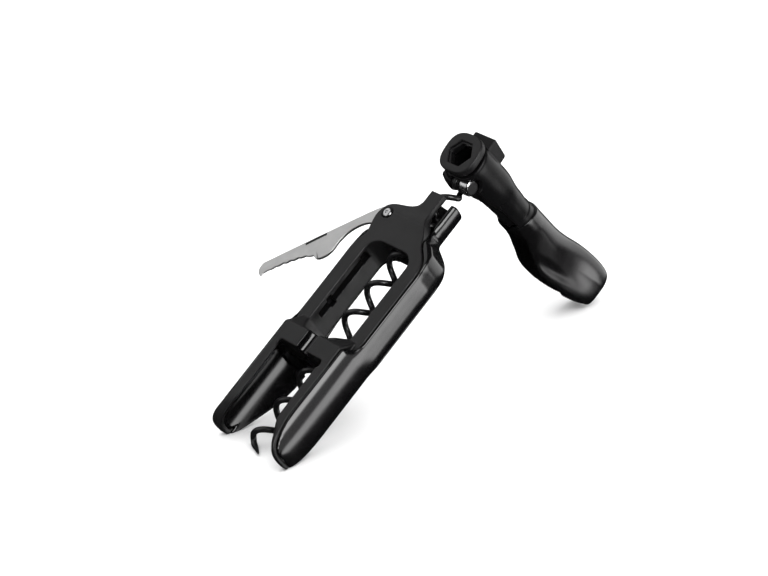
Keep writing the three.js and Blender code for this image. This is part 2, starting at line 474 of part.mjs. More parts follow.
frame.add(mesh('front_frame', frontFrame, MATTE));
frame.add(mesh('rear_shell', rearShell, GLOSS));
frame.add(mesh('guide_bush', guideBush, ACETAL));
frame.add(mesh('foil_blade', blade, SATIN));
frame.add(mesh('blade_rivet', bladeRivet, STEEL));
frame.add(mesh('blade_washer_front', washer(-5.07), STEEL));
frame.add(mesh('blade_washer_rear', washer(-3.03), STEEL));
SCREWS.forEach(([x, z], i) => frame.add(mesh(`frame_screw_${i + 1}`, turnedAboutY(
  [[0, -1.5], [1.0, -1.0], [1.0, 6.5], [1.45, 6.5], [1.45, 7.1], [1.15, 7.3], [0, 7.3]], 14, x, z), STEEL)));
frame.add(mesh('worm', worm, COATED));

const handle = new THREE.Group();
handle.position.set(0, BORE_Y, PIN_Z);
handle.rotation.x = HANDLE_TILT * Math.PI / 180;
handle.add(mesh('handle_core', handleCore, MATTE));
handle.add(mesh('head_end_cap', endCap, GLOSS));
handle.add(mesh('pivot_pin', pivotPin, STEEL));
handle.add(mesh('eye_washer_left', eyeWasher(-1.42), ACETAL));
handle.add(mesh('eye_washer_right', eyeWasher(1.42), ACETAL));
handle.add(mesh('grip_sleeve', grip, GLOSS));
frame.add(handle);

const group = new THREE.Group();
group.add(frame);
group.updateMatrixWorld(true);

// centre the footprint on the origin and stand the lowest point at zero
const bounds = new THREE.Box3();
frame.traverse((o) => {
  if (!o.isMesh) return;
  const p = o.geometry.attributes.position, v = new THREE.Vector3();
  for (let i = 0; i < p.count; i++) bounds.expandByPoint(v.fromBufferAttribute(p, i).applyMatrix4(o.matrixWorld));
});
frame.position.set(-(bounds.min.x + bounds.max.x) / 2, -(bounds.min.y + bounds.max.y) / 2, -bounds.min.z);
group.updateMatrixWorld(true);

export default group;
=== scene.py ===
import math

import bpy
import numpy as np
from mathutils import Matrix, Vector


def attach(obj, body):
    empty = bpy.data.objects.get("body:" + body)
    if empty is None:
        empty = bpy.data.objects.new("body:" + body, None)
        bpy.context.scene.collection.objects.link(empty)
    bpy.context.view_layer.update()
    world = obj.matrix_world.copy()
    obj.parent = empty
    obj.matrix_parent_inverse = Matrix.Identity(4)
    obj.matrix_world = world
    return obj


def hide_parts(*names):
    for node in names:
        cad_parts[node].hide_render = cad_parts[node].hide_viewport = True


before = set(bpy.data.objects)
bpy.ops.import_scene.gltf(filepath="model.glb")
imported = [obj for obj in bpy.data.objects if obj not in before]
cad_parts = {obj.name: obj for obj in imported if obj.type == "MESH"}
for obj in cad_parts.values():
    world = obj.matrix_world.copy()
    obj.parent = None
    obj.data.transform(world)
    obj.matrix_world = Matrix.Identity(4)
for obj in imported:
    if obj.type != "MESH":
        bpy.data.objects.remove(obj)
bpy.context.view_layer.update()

MM = 0.001

# ------------------------------------------------------------------- axes
# The frame is drawn upright in its own axes in millimetres (X across, Y from
# front to back, Z from leg tips to neck) and leans on the table; the handle
# has axes x, h (head to grip end) and u (up), with its origin on the pin.
LEAN = math.radians(35.65)
HANDLE_TILT = math.radians(6.62)
BODY = Matrix.Translation((0.0163, -0.089672, 0.000455)) @ Matrix.Rotation(-(math.pi / 2 - LEAN), 4, "X")
HANDLE = BODY @ Matrix.Translation((0, -0.0003, 0.12804)) @ Matrix.Rotation(HANDLE_TILT, 4, "X")

# ----------------------------------------------------------------- camera
cam_data = bpy.data.cameras.new("camera")
cam_data.sensor_width = 36.0
cam_data.lens = 2428.08 / 768 * 36.0
cam = bpy.data.objects.new("camera", cam_data)
cam.location = (0.615299, -0.563388, 0.45818)
cam.rotation_euler = (math.radians(62.8229), math.radians(0.3337), math.radians(47.8729))
bpy.context.scene.collection.objects.link(cam)
bpy.context.scene.camera = cam


# ---------------------------------------------------------- shape functions
# Every moulded piece is a signed distance in millimetres, negative inside,
# turned into a mesh on a fine grid with its edges already rounded.
def curve(points, per=8, closed=False):
    """Smooth line through the points."""
    p = np.array(points, float)
    n = len(p)
    out = []
    last = n if closed else n - 1
    for i in range(last):
        p1, p2 = p[i], p[(i + 1) % n]
        p0 = p[(i - 1) % n] if closed or i > 0 else 2 * p1 - p2
        p3 = p[(i + 2) % n] if closed or i + 2 < n else 2 * p2 - p1
        t = np.arange(per) / per
        d1, d2, d3 = (max(np.linalg.norm(b - a), 1e-6) ** 0.5 for a, b in ((p0, p1), (p1, p2), (p2, p3)))
        m1 = (p2 - p1) + d2 * ((p1 - p0) / d1 - (p2 - p0) / (d1 + d2))
        m2 = (p2 - p1) + d2 * ((p3 - p2) / d3 - (p3 - p1) / (d2 + d3))
        t = t[:, None]
        out.append((2 * t**3 - 3 * t**2 + 1) * p1 + (t**3 - 2 * t**2 + t) * m1 + (-2 * t**3 + 3 * t**2) * p2 + (t**3 - t**2) * m2)
    if not closed:
        out.append(p[-1:])
    return np.concatenate(out)


def outline(points):
    """Signed distance to a closed outline, as a function of two coordinates."""
    pts = np.array(points, float)

    def f(a, b):
        a, b = np.broadcast_arrays(a, b)
        best = np.full(a.shape, 1e9)
        inside = np.zeros(a.shape, bool)
        for i in range(len(pts)):
            (ax, ay), (bx, by) = pts[i - 1], pts[i]
            ex, ey = bx - ax, by - ay
            ll = ex * ex + ey * ey
            if ll < 1e-12:
                continue
            wx, wy = a - ax, b - ay
            t = np.clip((wx * ex + wy * ey) / ll, 0, 1)
            best = np.minimum(best, (wx - ex * t) ** 2 + (wy - ey * t) ** 2)
            cross = ((ay > b) != (by > b)) & (a < ex * (b - ay) / (ey if abs(ey) > 1e-12 else 1e-12) + ax)
            inside ^= cross
        d = np.sqrt(best)
        return np.where(inside, -d, d)

    return f


def meet(a, b, r):
    """Common part of two shapes, with an edge of radius r."""
    return np.minimum(-r, np.maximum(a, b)) + np.sqrt(np.maximum(r + a, 0) ** 2 + np.maximum(r + b, 0) ** 2)


def join(a, b, r):
    """Union with a fillet of radius r."""
    return np.maximum(r, np.minimum(a, b)) - np.sqrt(np.maximum(r - a, 0) ** 2 + np.maximum(r - b, 0) ** 2)


def cut(a, b, r):
    """a without b, with an edge of radius r."""
    return meet(a, -b, r)


def step(lo, hi, v):
    t = np.clip((v - lo) / (hi - lo), 0, 1)
    return t * t * (3 - 2 * t)


def slab(v, lo, hi):
    return np.maximum(lo - v, v - hi)


def supercircle(a, b, ra, rb, q):
    a, b = np.abs(a), np.abs(b)
    s = np.maximum(((a / ra) ** q + (b / rb) ** q) ** (1 / q), 0.3)
    g = s ** (1 - q) * np.sqrt(((a / ra) ** (q - 1) / ra) ** 2 + ((b / rb) ** (q - 1) / rb) ** 2)
    return (s - 1) / np.maximum(g, 0.3 / np.maximum(ra, rb))


def mesh_of(fn, lo, hi, size):
    """Vertices, normals and quads of the surface fn = 0."""
    lo = np.array(lo, float)
    n = [int(math.ceil((h - l) / size)) + 1 for l, h in zip(lo, hi)]
    x, y, z = (lo[i] + size * np.arange(n[i]) for i in range(3))
    f = np.broadcast_to(fn(x[:, None, None], y[None, :, None], z[None, None, :]), n).astype(np.float32)
    neg = f < 0
    count = np.zeros([k - 1 for k in n], np.int8)
    for i in (0, 1):
        for j in (0, 1):
            for k in (0, 1):
                count += neg[i:n[0] - 1 + i, j:n[1] - 1 + j, k:n[2] - 1 + k]
    active = (count > 0) & (count < 8)
    cells = np.argwhere(active)
    index = np.full(active.shape, -1, np.int64)
    index[active] = np.arange(len(cells))
    corner = {}
    for i in (0, 1):
        for j in (0, 1):
            for k in (0, 1):
                corner[i, j, k] = f[cells[:, 0] + i, cells[:, 1] + j, cells[:, 2] + k]
    pos = np.zeros((len(cells), 3))
    hits = np.zeros(len(cells))
    for c in corner:
        for axis in range(3):
            if c[axis]:
                continue
            d = list(c)
            d[axis] = 1
            fa, fb = corner[c], corner[tuple(d)]
            on = (fa < 0) != (fb < 0)
            t = np.where(on, fa / np.where(on, fa - fb, 1), 0)
            p = np.zeros((len(cells), 3))
            p[:, 0], p[:, 1], p[:, 2] = c
            p[:, axis] += t
            pos += p * on[:, None]
            hits += on
    pos = cells + pos / hits[:, None]
    grad = np.stack(np.gradient(f, size), -1)

    def sample(field, p):
        i = np.clip(np.floor(p).astype(int), 0, np.array(n) - 2)
        w = p - i
        out = 0
        for a in (0, 1):
            for b in (0, 1):
                for c in (0, 1):
                    k = (w[:, 0] if a else 1 - w[:, 0]) * (w[:, 1] if b else 1 - w[:, 1]) * (w[:, 2] if c else 1 - w[:, 2])
                    v = field[i[:, 0] + a, i[:, 1] + b, i[:, 2] + c]
                    out = out + (v * k[:, None] if v.ndim > 1 else v * k)
        return out

    for _ in range(3):
        g = sample(grad, pos)
        v = sample(f, pos)
        move = g * (v / np.maximum((g * g).sum(1), 0.2))[:, None] / size
        pos -= np.clip(move, -0.35, 0.35)
    normal = sample(grad, pos)
    normal /= np.maximum(np.linalg.norm(normal, axis=1), 1e-6)[:, None]
    quads = []
    for axis in range(3):
        o1, o2 = [(1, 2), (2, 0), (0, 1)][axis]
        s = [slice(None)] * 3
        e = [slice(None)] * 3
        s[axis], e[axis] = slice(0, -1), slice(1, None)
        a, b = neg[tuple(s)], neg[tuple(e)]
        change = np.argwhere(a != b)
        ok = (change[:, o1] > 0) & (change[:, o2] > 0) & (change[:, o1] < n[o1] - 1) & (change[:, o2] < n[o2] - 1)
        change = change[ok]
        out_way = neg[change[:, 0], change[:, 1], change[:, 2]]
        q = []
        for d1, d2 in ((-1, -1), (0, -1), (0, 0), (-1, 0)):
            c = change.copy()
            c[:, o1] += d1
            c[:, o2] += d2
            q.append(index[c[:, 0], c[:, 1], c[:, 2]])
        q = np.stack(q, 1)
        q[~out_way] = q[~out_way][:, ::-1]
        quads.append(q)
    return lo + pos * size, normal, np.concatenate(quads)


def piece(name, verts, quads, matrix, material, normals=None, ride=None, stands_for=(), slot=None, second=None):
    """Mesh object in the row frame from vertices in millimetres."""
    m = np.array(matrix)
    v = np.asarray(verts, float) * MM @ m[:3, :3].T + m[:3, 3]
    me = bpy.data.meshes.new(name)
    faces = [tuple(int(i) for i in q) for q in quads] if not isinstance(quads, np.ndarray) else quads.tolist()
    me.from_pydata(v.tolist(), [], faces)
    me.update()
    me.materials.append(material)
    if second is not None:
        *extra, mask = second
        for m2 in extra:
            me.materials.append(m2)
        me.polygons.foreach_set("material_index", mask.astype(np.int32))
    me.polygons.foreach_set("use_smooth", np.ones(len(me.polygons), bool))
    if normals is not None:
        me.normals_split_custom_set_from_vertices((np.asarray(normals) @ m[:3, :3].T).tolist())
    ob = bpy.data.objects.new(name, me)
    bpy.context.scene.collection.objects.link(ob)
    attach(ob, ride)
    if stands_for:
        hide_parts(*stands_for)
    return ob


# --------------------------------------------------------------- materials
def node_material(name):
    m = bpy.data.materials.new(name)
    m.use_nodes = True
    nt = m.node_tree
    bsdf = next(n for n in nt.nodes if n.type == "BSDF_PRINCIPLED")
    return m, nt, bsdf


def noise(nt, scale, detail=3.0, rough=0.5, stretch=None, turn=None):
    co = nt.nodes.new("ShaderNodeTexCoord")
    tex = nt.nodes.new("ShaderNodeTexNoise")
    tex.inputs["Scale"].default_value = scale
    tex.inputs["Detail"].default_value = detail
    tex.inputs["Roughness"].default_value = rough
    if stretch or turn:
        mp = nt.nodes.new("ShaderNodeMapping")
        mp.inputs["Scale"].default_value = stretch or (1, 1, 1)
        mp.inputs["Rotation"].default_value = turn or (0, 0, 0)
        nt.links.new(co.outputs["Object"], mp.inputs["Vector"])
        nt.links.new(mp.outputs["Vector"], tex.inputs["Vector"])
    else:
        nt.links.new(co.outputs["Object"], tex.inputs["Vector"])
    return tex.outputs["Fac"]


def ramp(nt, fac, stops):
    r = nt.nodes.new("ShaderNodeValToRGB")
    e = r.color_ramp.elements
    while len(e) < len(stops):
        e.new(0.5)
    for el, (p, c) in zip(e, stops):
        el.position = p
        el.color = (c[0], c[1], c[2], 1) if isinstance(c, tuple) else (c, c, c, 1)
    nt.links.new(fac, r.inputs["Fac"])
    return r.outputs["Color"]


def bump(nt, bsdf, height, strength, distance, base=None):
    b = nt.nodes.new("ShaderNodeBump")
    b.inputs["Strength"].default_value = strength
    b.inputs["Distance"].default_value = distance
    nt.links.new(height, b.inputs["Height"])
    if base is not None:
        nt.links.new(base, b.inputs["Normal"])
    nt.links.new(b.outputs["Normal"], bsdf.inputs["Normal"])
    return b.outputs["Normal"]


def moulded(name, dark, light, rough_lo, rough_hi, grain, grain_size, specular=0.5, coat=0.0, coat_rough=0.05):
    m, nt, s = node_material(name)
    nt.links.new(ramp(nt, noise(nt, 55, 4.0, 0.6), [(0.3, dark), (0.7, light)]), s.inputs["Base Color"])
    nt.links.new(ramp(nt, noise(nt, 160, 5.0, 0.65), [(0.3, rough_lo), (0.72, rough_hi)]), s.inputs["Roughness"])
    s.inputs["Specular IOR Level"].default_value = specular
    if coat:
        s.inputs["Coat Weight"].default_value = coat
        s.inputs["Coat Roughness"].default_value = coat_rough
    first = bump(nt, s, noise(nt, 1.0 / grain_size, 2.0, 0.6), grain, 0.00002)
    bump(nt, s, noise(nt, 70, 2.0), 0.05, 0.0003, first)
    return m


MATTE = moulded("moulded_matte_black", (0.0046, 0.0045, 0.0048), (0.0072, 0.0070, 0.0074), 0.38, 0.48, 0.30, 0.00030, 0.32)
MATTE_DARK = moulded("moulded_matte_deep", (0.0030, 0.0029, 0.0032), (0.0048, 0.0047, 0.0050), 0.26, 0.34, 0.22, 0.00030, 0.13)
# painted shade: a near-black, dull copy of the moulding that stands in for the shade inside the blade's slot and the
# worm's bore
PAINTED_SHADE = moulded("moulded_black_painted_shade", (0.0012, 0.0011, 0.0013), (0.0022, 0.0021, 0.0023), 0.55, 0.70, 0.20, 0.00030, 0.08)
GLOSS = moulded("moulded_gloss_black", (0.0020, 0.0019, 0.0022), (0.0032, 0.0031, 0.0034), 0.13, 0.18, 0.03, 0.0009, 0.55)
GRIP = moulded("moulded_grip_black", (0.0022, 0.0021, 0.0024), (0.0034, 0.0033, 0.0036), 0.20, 0.26, 0.03, 0.0009, 0.55)
COATED = moulded("coated_wire_black", (0.0040, 0.0039, 0.0042), (0.0065, 0.0064, 0.0067), 0.26, 0.36, 0.15, 0.0004, 0.6)
ACETAL = moulded("smooth_black_bush", (0.0060, 0.0058, 0.0063), (0.0095, 0.0093, 0.0098), 0.30, 0.42, 0.15, 0.0004)


def metal(name, dark, light, rough_lo, rough_hi, stretch, turn, scale=900.0, strength=0.35, distance=0.00002):
    m, nt, s = node_material(name)
    lines = noise(nt, scale, 4.0, 0.7, stretch, turn)
    cloud = noise(nt, 90, 4.0, 0.6)
    nt.links.new(ramp(nt, cloud, [(0.3, dark), (0.7, light)]), s.inputs["Base Color"])
    nt.links.new(ramp(nt, lines, [(0.25, rough_lo), (0.75, rough_hi)]), s.inputs["Roughness"])
    s.inputs["Metallic"].default_value = 1.0
    bump(nt, s, lines, strength, distance)
    return m


TILT_BACK = (math.pi / 2 - LEAN, 0, 0)
SATIN = metal("blade_satin_steel", (0.50, 0.50, 0.50), (0.62, 0.62, 0.615), 0.30, 0.46, (1.0, 1.0, 0.06), TILT_BACK, 1500.0)
# painted shade: dark steel for the shallow nick in the blade's face
SHADE = metal("blade_nick_painted_shade", (0.05, 0.05, 0.05), (0.09, 0.09, 0.09), 0.40, 0.55, (1.0, 1.0, 0.06), TILT_BACK, 1500.0)
BRIGHT = metal("turned_bright_steel", (0.60, 0.60, 0.61), (0.74, 0.74, 0.75), 0.14, 0.30, (1.0, 0.12, 0.12), None, 2200.0, 0.25)

# ------------------------------------------------------------ frame shapes
SIDE_REAR = [(3.3, 4.3), (4.3, 6.6), (5.1, 8.9), (5.9, 11.6), (6.8, 14.9), (7.8, 18.9), (8.6, 23.2), (9.3, 28.5), (9.9, 35),
             (10.3, 42), (9.6, 47.5), (8.1, 53.5)]


def side_view(points):
    return outline([(-8.1, 118.6), (-8.1, 52.0), (-13.3, 46.3)] + curve(points + SIDE_REAR, 4).tolist() + [(8.1, 118.6)])


# the legs' side view along their outer side, and along the rim beside the hollow
side_out = side_view([(-13.3, 12), (-13.3, 9), (-13.2, 6.8), (-12.9, 5.2), (-12.3, 3.8), (-11.5, 2.7), (-10.4, 1.7), (-9.0, 0.9),
                      (-7.4, 0.35), (-5.6, 0.05), (-3.8, -0.05), (-1.8, 0.0), (-0.3, 0.1), (1.1, 0.9), (2.2, 2.3)])
side_rim = side_view([(-13.3, 21), (-13.3, 17), (-13.2, 13.5), (-12.7, 11.2), (-11.7, 9.2), (-10.6, 7.8), (-9.6, 6.8), (-8.4, 5.4),
                      (-6.9, 4.0), (-5.1, 2.85), (-3.1, 1.8), (-1.5, 1.15), (-0.2, 0.75), (1.2, 1.1), (2.3, 2.4)])


def side(a, y, z):
    t = np.clip((a - 11.4) / 4.9, 0, 1)
    return side_rim(y, z) * (1 - t) + side_out(y, z) * t


LEG_R = curve([(15.35, -13.3), (16.85, -11.6), (18.2, -8.8), (18.95, -6.0), (19.25, -3.2), (19.15, -0.4), (18.8, 2.2), (18.1, 4.5),
               (16.8, 6.4), (15.2, 8.0), (13.5, 9.4), (11.6, 10.3)], 5)
UPPER_R = curve([(17.95, -8.1), (18.5, -7.2), (18.75, -5.6), (18.95, -3.0), (19.15, -0.5), (19.25, 1.4), (19.0, 3.4), (18.1, 5.4),
                 (16.7, 7.1), (14.6, 8.1)], 5)
leg_section = outline([(-1, -13.3)] + LEG_R.tolist() + [(-1, 10.3)])
upper_section = outline([(-1, -8.1)] + UPPER_R.tolist() + [(-1, 8.1)])
OUTER_R = curve([(15.6, -0.3), (17.2, 0.0), (18.2, 1.0), (18.8, 3.2), (19.1, 8), (19.3, 26), (19.2, 43), (18.9, 58),
                 (18.9, 74), (19.1, 85), (18.9, 89.6), (18.0, 92.3), (16.4, 94.6), (14.1, 97.0), (12.1, 99.0), (10.0, 101.3),
                 (8.7, 103.5), (8.0, 106.3), (8.0, 112)], 5)
outer = outline([(-1, -0.3)] + OUTER_R.tolist() + [(8.0, 118.3), (-1, 118.3)])
FACE_R = curve([(15.05, 46.0), (15.9, 47.6), (17.0, 50.0), (17.6, 53.4)], 5).tolist() + curve(
    [(17.6, 84.0), (17.35, 87.2), (16.4, 90.0), (14.7, 92.4), (12.4, 94.7), (10.5, 97.0), (9.2, 99.6), (7.2, 102.2), (5.6, 104.5),
     (4.3, 106.6), (3.6, 108.8), (3.4, 111.0), (3.4, 118.5)], 4).tolist()
face = outline([(-1, 46.0)] + FACE_R + [(-1, 118.5)])
bridge = outline([(-13.3, 38.75), (-0.45, 38.75), (-0.45, 53), (-8.1, 53), (-8.1, 52.0), (-13.3, 46.3)])
bridge_out = outline([(-40, 38.75), (-0.45, 38.75), (-0.45, 53), (-40, 53)])
WINDOW_R = [(-1, 47.3), (6.2, 47.3)] + curve([(7.4, 48.0), (8.9, 49.2), (10.2, 50.5), (11.1, 51.8), (11.4, 53.6)], 4).tolist() + curve(
    [(11.4, 85.8), (11.0, 87.8), (9.7, 89.6), (7.6, 90.9), (5.2, 91.3)], 4).tolist() + [(-1, 91.3)]
window = outline(WINDOW_R)
groove_x = curve([(18.95, -0.3), (18.8, 0.3), (18.3, 1.0), (17.35, 3.0), (16.5, 6.2), (15.6, 10.5), (14.9, 16.3), (14.85, 21), (15.05, 30), (15.05, 50)], 6)
EAR = curve([(-3.4, 113.6), (-3.55, 112.3), (-4.3, 110.9), (-5.7, 109.9), (-7.6, 109.1), (-9.9, 108.5), (-12.2, 107.9), (-14.2, 107.1),
             (-15.9, 105.5), (-17.1, 102.9), (-17.5, 100.3), (-17.05, 97.4), (-16.3, 94.5), (-15.2, 90)], 5)
ear = outline([(-3.0, 96), (-3.0, 113.5)] + EAR.tolist() + [(-11, 90)])
SLOT = [(-40, 44.2), (-14.2, 44.2), (-13.4, 46), (-13.0, 55.8), (-9.8, 55.9), (-9.8, 85.7), (-12.6, 85.8), (-12.6, 96.6),
        (-9.0, 97.6), (-8.4, 100), (-8.1, 102.5), (-8.6, 105.4), (-9.6, 108.5), (-12, 113), (-40, 113)]
blade_slot = outline(SLOT)
BORE_Y = -0.3


def between_legs(a, y, z, r=15.5, throat=10.5):
    tube = np.hypot(a, y + 2.0) - r
    return meet(np.minimum(tube, a - throat), z - 38.75, 0.15)


def bores(a, y, z):
    radial = np.hypot(a, y - BORE_Y)
    d = np.maximum(radial - 5.2, 86 - z)
    d = np.minimum(d, np.maximum(radial - 5.9, z - 60))
    return np.minimum(d, np.maximum(radial - 6.6, slab(z, 41.2, 44.0)))


def strip(a, y, z, g):
    """Matte strip along the front edge of each leg, round the tip."""
    s = side(a, y, z)
    gx = np.interp(np.broadcast_to(z, z.shape).ravel(), groove_x[:, 1], groove_x[:, 0]).reshape(z.shape)
    d = meet(-(s + 2.0 + g), a - gx - g, 0.25)
    d = np.maximum(d, z - 39.6)
    d = np.maximum(d, y - 0.9 - g)
    return np.maximum(d, 9.0 - a)


def slot_cut(x, y, z, g=0.0):
    d = np.maximum(blade_slot(x, z), slab(y, -5.5 - g, -2.6 + g))
    # wider places in the window wall, where the blade's back and its spring rest
    for z0, z1, y0, y1 in ((61.6, 64.2, -6.6, -1.6), (82.3, 85.7, -6.5, -2.2)):
        d = np.minimum(d, np.maximum(np.maximum(slab(z, z0, z1), slab(y, y0, y1)), slab(x, -14.0, -9.8)))
    return d


def front_frame(x, y, z):
    a = np.abs(x)
    fc = face(a, z)
    beams = np.maximum(meet(fc, slab(y, -8.1, 5.5), 0.4), z - 97.0)
    shoulder = np.maximum(meet(fc, slab(y, -8.1, -2.5), 0.4), 90 - z)
    br = meet(bridge(y, z), a - 15.05, 0.4)
    d = np.minimum(np.minimum(beams, shoulder), br)
    leg = meet(side(a, y, z), leg_section(a, y), 0.5)
    d = np.minimum(d, meet(leg, strip(a, y, z, 0.0), 0.35))
    d = cut(d, window(a, z), 0.45)
    d = cut(d, between_legs(a, y, z), 0.4)
    for s in (-1, 1):
        d = cut(d, np.maximum(np.hypot(x - s * 10.2, z - 37.2) - 1.7, y + 9.0), 0.25)
    e = meet(ear(x, z), slab(y, -8.1, np.where(x < -8.3, 1.0, -3.6)), 0.45)
    d = np.minimum(d, e)
    # open groove down the front of the bridge, dying out on the slope above it
    channel = np.minimum(np.hypot(a, y + 12.3) - 2.7, np.maximum(a - 2.7, y + 12.3))
    d = cut(d, np.maximum(channel, 30 - z), 0.35)
    # the tongue sinks a little below the face, with bevelled flanks
    sink = -8.1 + 1.35 * step(104.0, 110.0, z) - y
    d = np.where(z > 103.5, meet(d, sink, 0.3), d)
    d = cut(d, bores(a, y, z), 0.25)
    d = cut(d, slot_cut(x, y, z), 0.2)
    r = np.hypot(x + 13.2, z - 102.5)
    d = cut(d, np.minimum(np.maximum(r - 2.35, y + 7.5), r - 1.6), 0.2)
    for sx, sz in ((15.2, 86.2), (15.2, 56.4), (-15.2, 86.2), (-15.2, 56.4)):
        d = cut(d, np.maximum(np.hypot(x - sx, z - sz) - 1.3, -1.9 - y), 0.1)
    return d


def rear_shell(x, y, z):
    a = np.abs(x)
    tube = np.hypot(a, y - 0.3) - 8.1
    t = step(101.0, 106.0, z)
    neck = np.where(y > 0.3, tube, tube * t + (a - 8.1) * (1 - t))
    up = upper_section(a, y)
    sec = leg_section(a, y)
    t = step(45.5, 53.0, z)
    sec = sec * (1 - t) + up * t
    t = step(98.0, 104.5, z)
    sec = sec * (1 - t) + neck * t
    front = step(4.0, -7.0, y)
    s = meet(sec, side(a, y, z), 1.0 + 0.3 * (1 - front))
    s = meet(s, outer(a, z) - 0.5 * step(84, 92, z) * step(112, 104, z), 1.3 - 0.4 * front + 2.0 * step(84, 90, z) * step(110, 103, z))
    # everything the matte moulding fills, and the way to it from the front
    fc = face(a, z)
    s = cut(s, np.maximum(np.maximum(fc - 0.32, y - 5.8), z - 97.3), 0.5)
    s = cut(s, np.maximum(np.maximum(fc - 0.32, y + 2.2), 90 - z), 0.4)
    s = cut(s, np.maximum(bridge_out(y, z) - 0.32, a - 15.37), 0.5)
    s = cut(s, strip(a, y, z, np.where(a > 14.2, 0.28, 0.28 - 0.5 * step(15, 8, z))), 0.4)
    # the window opens out behind the matte moulding
    flare = np.clip(y - 5.9, 0, 1.7)
    s = cut(s, window(a, z) - np.where(z > 60, 1.0, np.clip((z - 47) / 13, 0, 1)) * flare, 0.5)
    s = cut(s, between_legs(a, y, z, 15.5, 10.8), 0.6)
    # recess under the bridge, above the polished inside of the legs
    s = cut(s, np.maximum(np.hypot(a, y + 2.0) - 16.5, slab(z, 36.2, 38.9)), 0.3)
    s = cut(s, bores(a, y, z), 0.3)
    opened = np.maximum(np.maximum(0.8 * (y + 3.1 + 0.75 * np.clip(105.2 - z, 0, 8)), 98 - z), a - 9.5)
    s = cut(s, opened, 1.8)
    s = cut(s, np.maximum(slot_cut(x, y, z, 0.1), x + 8), 0.25)
    s = cut(s, np.maximum(np.maximum(ear(x, z) - 0.5, y - 1.3), x + 8.1), 0.2)
    s = cut(s, np.maximum(np.maximum(ear(x, z) - 0.35, y + 3.25), x + 2.0), 0.2)
    for sx, sz in ((15.2, 86.2), (15.2, 56.4), (-15.2, 86.2), (-15.2, 56.4)):
        r = np.hypot(x - sx, z - sz)
        s = cut(s, np.maximum(r - 1.7, 6.2 - y), 0.2)
    return s


# ----------------------------------------------------------- handle shapes
AXIS_U = 7.68
CORE_H = [-4.9, -3.9, 6, 14, 17, 20, 24, 30, 34, 45]
CORE_R = [8.0, 8.5, 8.7, 8.65, 8.4, 7.95, 7.55, 7.25, 7.0, 6.75]
CORE_Q = [2.6, 2.4, 2.3, 2.2, 2.15, 2.1, 2.0, 2.0, 2.0, 2.0]


def core_u(h):
    return AXIS_U - 0.15 * np.clip(h / 10, 0, 1) - 0.6 * np.clip((h - 20) / 14, 0, 1)


def along(h, xs, ys):
    c = curve(list(zip(xs, ys)), 6)
    return np.interp(h.ravel(), c[:, 0], c[:, 1]).reshape(h.shape)


nest = outline([(-1, -20), (5.3, -20), (5.3, 2.5), (4.6, 3.8), (2.9, 4.9), (-1, 4.9)])


def handle_core(x, h, u):
    a = np.abs(x)
    r, q = along(h, CORE_H, CORE_R), along(h, CORE_H, CORE_Q)
    d = meet(supercircle(a, u - core_u(h), r, r, q), slab(h, -4.9, 45), 0.45)
    d = np.minimum(d, np.maximum(np.hypot(a, u - AXIS_U) - 6.4, slab(h, -6.9, -4.0)))
    # raised block on the head
    top = meet(u - (20.25 - 0.155 * (h + 2.4)), slab(h, -3.3, 7.2), 1.0)
    block = meet(meet(top, a - 5.4, 0.45), 12 - u, 0.1)
    d = join(d, block, 0.35)
    collar = meet(np.hypot(a, u - core_u(h)) - 7.25, slab(h, 34.7, 41.5), 0.25)
    d = np.minimum(d, collar)
    # saddle, knuckle and the hollow over the bright pin
    d = np.minimum(d, np.maximum(np.maximum(a - 7.4, slab(h, -3.4, 4.2)), slab(u, 0, 4)))
    d = cut(d, np.maximum(nest(a, u), slab(h, 3.4, 44.0)), 0.4)
    d = cut(d, np.maximum(np.maximum(a - 5.3, u - 4.9), slab(h, 43.9, 46)), 0.3)
    knuckle = meet(np.hypot(h, u) - (3.4 - 0.9 * np.clip((-5.5 - x) / 2.2, 0, 1) * step(0.8, -1.2, u)), slab(x, -7.8, -1.7), 0.25)
    knuckle = meet(knuckle, -0.5 * x - 0.866 * u - 4.35, 0.3)
    web = meet(slab(h, -3.2, 3.2), slab(x, -7.7, -1.7), 0.3)
    d = np.minimum(d, np.minimum(knuckle, np.maximum(web, slab(u, 0, 4))))
    d = cut(d, np.maximum(np.hypot(h, u) - 3.7, 1.7 - x), 0.3)
    d = cut(d, np.maximum(np.maximum(np.abs(h) - 4.2, u), 1.7 - x), 0.2)
    d = cut(d, np.maximum(np.hypot(h, u) - 4.6, a - 1.75), 0.15)
    d = cut(d, np.maximum(np.maximum(np.abs(h) - 4.6, u), a - 1.75), 0.15)
    d = cut(d, np.maximum(np.hypot(h, u) - 2.0, x - 5), 0.2)
    # deep socket behind the end cap
    return cut(d, np.maximum(np.hypot(a, u - 8.3) - 5.0, h - 2.0), 0.2)


def polygon(n, r, cx, cy, turn=0.0):
    return outline([(cx + r * math.cos(2 * math.pi * i / n + turn), cy + r * math.sin(2 * math.pi * i / n + turn)) for i in range(n)])


hex_out = polygon(6, 5.75, 0, 8.2)
hex_in = polygon(6, 5.0, 0, 8.0)


def end_cap(x, h, u):
    a = np.abs(x)
    d = meet(supercircle(a, u - AXIS_U - 0.75, 8.4, 8.35, 2.7), slab(h, -9.7, -6.4), 0.75)
    d = np.minimum(d, np.maximum(np.hypot(a, u - AXIS_U) - 6.0, slab(h, -6.6, -5.6)))
    d = cut(d, np.maximum(hex_out(x, u), h + 8.5), 0.3)
    d = cut(d, hex_in(x, u), 0.2)
    rib = meet(meet(slab(x, -0.5, 1.0), slab(u, 12.0, 13.2), 0.15), slab(h, -8.8, -7.2), 0.15)
    return np.minimum(d, rib)


